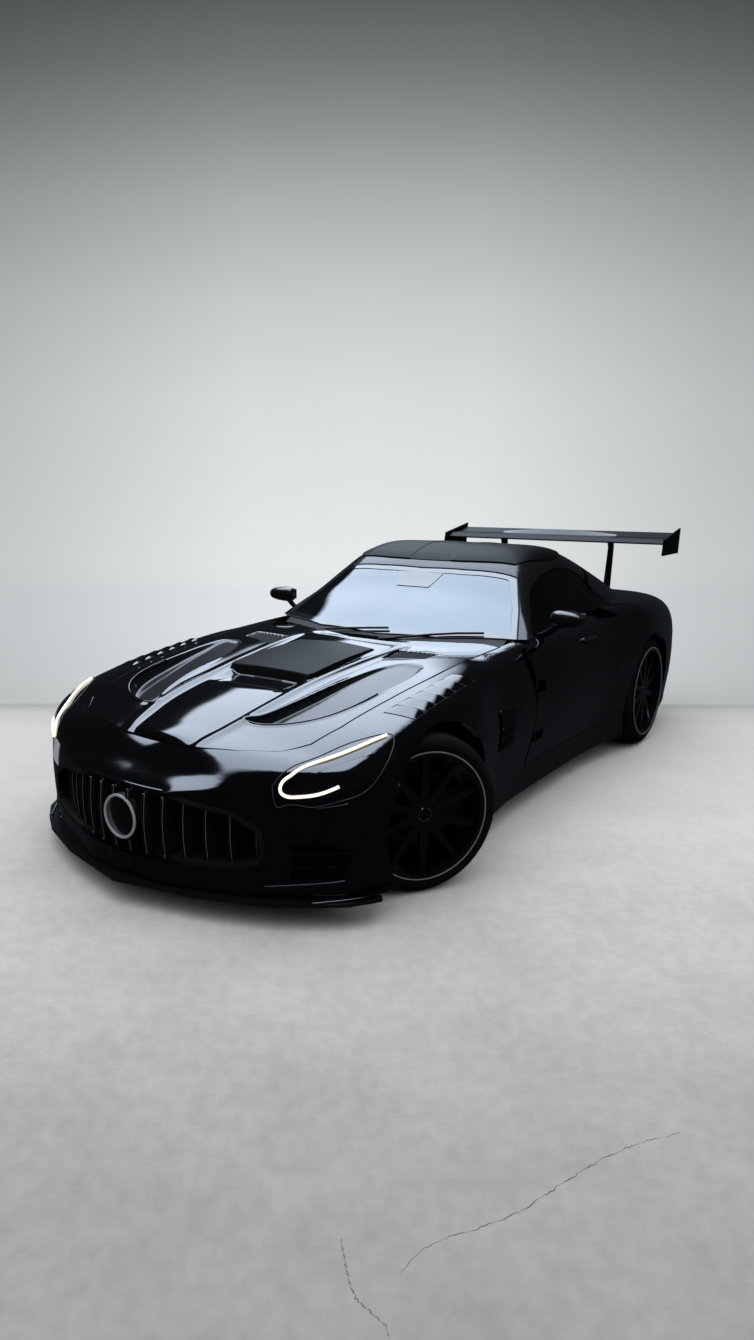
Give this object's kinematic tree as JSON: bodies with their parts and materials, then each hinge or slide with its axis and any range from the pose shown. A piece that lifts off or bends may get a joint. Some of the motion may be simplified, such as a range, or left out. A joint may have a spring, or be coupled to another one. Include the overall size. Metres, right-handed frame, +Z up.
{
  "type": "sports car",
  "caption": "Low two-seat front-engined track coupe with opening doors, bonnet and tailgate, steered front wheels, rolling wheels and a tall rear wing.",
  "frame": {"origin": "on the ground under the middle of the car's bounding box", "axes": "+X to the car's left, +Y to the tail, +Z up; the nose points along -Y"},
  "size_m": [2.2322, 4.58, 1.3339],
  "materials": {
    "black_paint": "gloss black lacquer over metal and plastic panels",
    "carbon": "lacquered twill carbon-fibre laminate",
    "dark_plastic": "grained black moulded plastic",
    "glass": "laminated screen glass, light tint",
    "privacy_glass": "dark tinted side glass",
    "lamp_lens": "clear polycarbonate over smoked lamp internals",
    "tail_lens": "smoked red polycarbonate",
    "black_wheel": "satin black forged alloy with a bright rim edge",
    "tyre": "moulded rubber",
    "cast_metal": "raw cast and machined metal",
    "steel": "e-coated pressed steel and aluminium structure",
    "trim_leather": "black leather and microfibre"
  },
  "bodies": {
    "body": {"floor_pan": "steel", "engine_block": "cast_metal", "front_bumper": "black_paint", "splitter": "carbon", "grille": "dark_plastic", "headlamps": "lamp_lens", "front_fender_left": "black_paint", "front_fender_right": "black_paint", "cowl_panel": "dark_plastic", "roof_panel": "carbon", "windscreen": "glass", "quarter_windows": "privacy_glass", "side_body_left": "black_paint", "side_body_right": "black_paint", "side_skirts": "carbon", "rear_bumper": "black_paint", "diffuser": "carbon", "tail_lamps": "tail_lens", "seats": "trim_leather", "dashboard": "dark_plastic", "steering_wheel": "trim_leather", "wipers": "dark_plastic", "suspension_arms": "steel", "rear_knuckles": "cast_metal", "rear_axle": "cast_metal"},
    "bonnet": {"bonnet": "black_paint"},
    "door_left": {"door_left": "black_paint", "door_glass_left": "privacy_glass", "mirror_left": "carbon"},
    "door_right": {"door_right": "black_paint", "door_glass_right": "privacy_glass", "mirror_right": "carbon"},
    "tailgate": {"tailgate": "black_paint", "rear_glass": "glass", "rear_wing": "carbon"},
    "front_hub_left": {"knuckle_front_left": "cast_metal"},
    "front_hub_right": {"knuckle_front_right": "cast_metal"},
    "wheel_front_left": {"tyre_front_left": "tyre", "rim_front_left": "black_wheel"},
    "wheel_front_right": {"tyre_front_right": "tyre", "rim_front_right": "black_wheel"},
    "wheel_rear_left": {"tyre_rear_left": "tyre", "rim_rear_left": "black_wheel"},
    "wheel_rear_right": {"tyre_rear_right": "tyre", "rim_rear_right": "black_wheel"}
  },
  "joints": [
    {"name": "steer_left", "type": "hinge", "parent": "body", "child": "front_hub_left", "pos_m": [0.8, -1.405, 0.334], "axis": [0, 0, 1], "range_deg": [-1.5, 64.5]},
    {"name": "steer_right", "type": "hinge", "parent": "body", "child": "front_hub_right", "pos_m": [-0.8, -1.405, 0.334], "axis": [0, 0, 1], "range_deg": [-1.5, 64.5]},
    {"name": "spin_front_left", "type": "hinge", "parent": "front_hub_left", "child": "wheel_front_left", "pos_m": [0.83922, -1.42903, 0.334], "axis": [0.8526, -0.5225, 0], "continuous": true},
    {"name": "spin_front_right", "type": "hinge", "parent": "front_hub_right", "child": "wheel_front_right", "pos_m": [-0.83922, -1.38097, 0.334], "axis": [0.8526, -0.5225, 0], "continuous": true},
    {"name": "spin_rear_left", "type": "hinge", "parent": "body", "child": "wheel_rear_left", "pos_m": [0.826, 1.225, 0.346], "axis": [1, 0, 0], "continuous": true},
    {"name": "spin_rear_right", "type": "hinge", "parent": "body", "child": "wheel_rear_right", "pos_m": [-0.826, 1.225, 0.346], "axis": [1, 0, 0], "continuous": true},
    {"name": "door_left_hinge", "type": "hinge", "parent": "body", "child": "door_left", "pos_m": [0.9, -0.36, 0.55], "axis": [0, 0, -1], "range_deg": [0, 62]},
    {"name": "door_right_hinge", "type": "hinge", "parent": "body", "child": "door_right", "pos_m": [-0.9, -0.36, 0.55], "axis": [0, 0, 1], "range_deg": [0, 62]},
    {"name": "bonnet_hinge", "type": "hinge", "parent": "body", "child": "bonnet", "pos_m": [0, -0.305, 0.76], "axis": [-1, 0, 0], "range_deg": [0, 50]},
    {"name": "tailgate_hinge", "type": "hinge", "parent": "body", "child": "tailgate", "pos_m": [0, 0.825, 1.168], "axis": [1, 0, 0], "range_deg": [0, 60]}
  ],
  "couplings": [
    {"joint": "steer_right", "follows": "steer_left", "ratio": 1}
  ]
}
